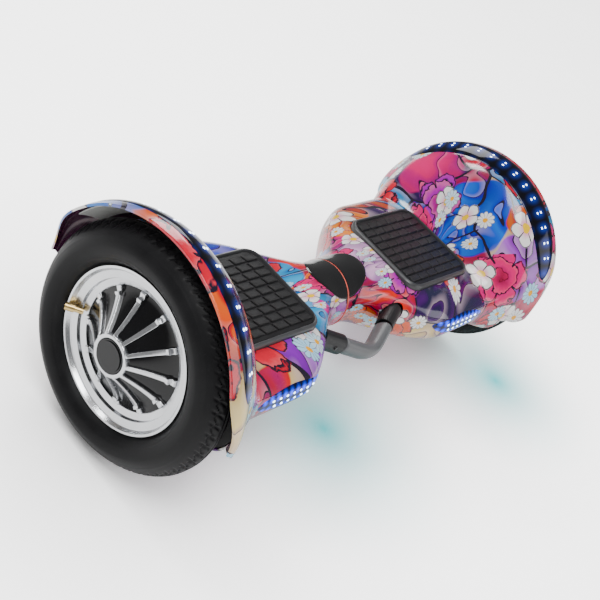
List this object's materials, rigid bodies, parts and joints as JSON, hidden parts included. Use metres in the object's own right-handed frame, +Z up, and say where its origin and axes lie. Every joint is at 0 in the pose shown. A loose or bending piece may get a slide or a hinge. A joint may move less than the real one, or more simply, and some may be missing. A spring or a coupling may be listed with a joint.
{
  "type": "self-balancing hoverboard",
  "caption": "Two-wheeled self-balancing board with two twisting foot decks, round lit fenders over hub-motor wheels, headlights and a carry handle across the neck.",
  "frame": {"origin": "on the floor, midway between the wheels and under their axles", "axes": "+X along the wheel axles, -Y the front with the headlights and the handle, +Z up"},
  "size_m": [0.6792, 0.287, 0.2705],
  "materials": {
    "tyre_rubber": "satin black moulded rubber",
    "black_rubber": "matt black rubber",
    "polished_rim": "polished and lacquered",
    "black_hub": "gloss black with bright machined ribs",
    "cast_cover": "cast, dark",
    "steel": "ground",
    "valve_brass": "brass stem, black cap",
    "stator_iron": "laminated",
    "copper": "enamelled copper wire",
    "printed_shell": "gloss, printed all over with a floral pattern",
    "smoked_lens": "smoked, with pairs of lights behind it",
    "led_board": "lit diodes on a strip",
    "headlight_lens": "clear blue, lit",
    "gloss_black": "gloss black",
    "die_cast": "die cast",
    "circuit_board": "circuit board",
    "pad_rubber": "satin black with raised blocks",
    "bush_brass": "sintered bronze",
    "seam_ring": "coral",
    "battery_wrap": "shrink wrap",
    "button_metal": "brushed",
    "handle_rubber": "satin grey",
    "boot_rubber": "black"
  },
  "bodies": {
    "left_half": {"left_stator": "stator_iron", "left_windings": "copper", "left_axle": "steel", "left_upper_shell": "printed_shell", "left_lower_shell": "printed_shell", "left_fender_lens": "smoked_lens", "left_headlight_lens": "headlight_lens", "left_light_boards": "led_board", "left_neck_collar": "gloss_black", "left_frame": "die_cast", "left_axle_clamp": "die_cast", "left_fasteners": "steel", "left_gyro_board": "circuit_board", "centre_shaft": "steel", "seam_ring": "seam_ring", "battery_pack": "battery_wrap", "left_handle_boot": "boot_rubber", "cable_harness": "black_rubber"},
    "right_half": {"right_stator": "stator_iron", "right_windings": "copper", "right_axle": "steel", "right_upper_shell": "printed_shell", "right_lower_shell": "printed_shell", "right_fender_lens": "smoked_lens", "right_headlight_lens": "headlight_lens", "right_light_boards": "led_board", "right_neck_collar": "gloss_black", "right_frame": "die_cast", "right_axle_clamp": "die_cast", "right_fasteners": "steel", "right_gyro_board": "circuit_board", "twist_bushes": "bush_brass", "control_board": "circuit_board", "charge_socket": "steel", "right_handle_boot": "boot_rubber"},
    "left_wheel": {"left_tyre": "tyre_rubber", "left_inner_tube": "black_rubber", "left_rim": "polished_rim", "left_hub_cover": "black_hub", "left_hub_cap": "black_hub", "left_motor_cover": "cast_cover", "left_magnets": "steel", "left_wheel_bearings": "steel", "left_valve": "valve_brass", "left_cover_screws": "steel"},
    "right_wheel": {"right_tyre": "tyre_rubber", "right_inner_tube": "black_rubber", "right_rim": "polished_rim", "right_hub_cover": "black_hub", "right_hub_cap": "black_hub", "right_motor_cover": "cast_cover", "right_magnets": "steel", "right_wheel_bearings": "steel", "right_valve": "valve_brass", "right_cover_screws": "steel"},
    "left_pad": {"left_foot_pad": "pad_rubber"},
    "right_pad": {"right_foot_pad": "pad_rubber"},
    "power_button": {"power_button": "button_metal"},
    "charge_flap": {"charge_cap": "black_rubber"},
    "handle": {"handle_bar": "handle_rubber"}
  },
  "joints": [
    {"name": "left_wheel_spin", "type": "hinge", "parent": "left_half", "child": "left_wheel", "pos_m": [-0.3085, 0, 0.127], "axis": [1, 0, 0], "continuous": true},
    {"name": "right_wheel_spin", "type": "hinge", "parent": "right_half", "child": "right_wheel", "pos_m": [0.3085, 0, 0.127], "axis": [1, 0, 0], "continuous": true},
    {"name": "twist", "type": "hinge", "parent": "left_half", "child": "right_half", "pos_m": [0, 0, 0.118], "axis": [1, 0, 0], "range_deg": [-8, 8]},
    {"name": "handle_swing", "type": "hinge", "parent": "left_half", "child": "handle", "pos_m": [-0.06063, -0.06598, 0.12278], "axis": [0, 1, 0], "range_deg": [-4.7, 4.7]},
    {"name": "left_pad_press", "type": "slide", "parent": "left_half", "child": "left_pad", "axis": [0, 0, -1], "range_m": [0, 0.0015], "stiffness_N_per_m": 8000},
    {"name": "right_pad_press", "type": "slide", "parent": "right_half", "child": "right_pad", "axis": [0, 0, -1], "range_m": [0, 0.0015], "stiffness_N_per_m": 8000},
    {"name": "power_button_press", "type": "slide", "parent": "left_half", "child": "power_button", "axis": [0, -1, 0], "range_m": [0, 0.0015], "stiffness_N_per_m": 600},
    {"name": "charge_flap_swing", "type": "hinge", "parent": "right_half", "child": "charge_flap", "pos_m": [0.15, 0.1055, 0.1126], "axis": [1, 0, 0], "range_deg": [0, 100]}
  ],
  "couplings": [
    {"joint": "handle_swing", "follows": "twist", "ratio": 0.5743}
  ]
}
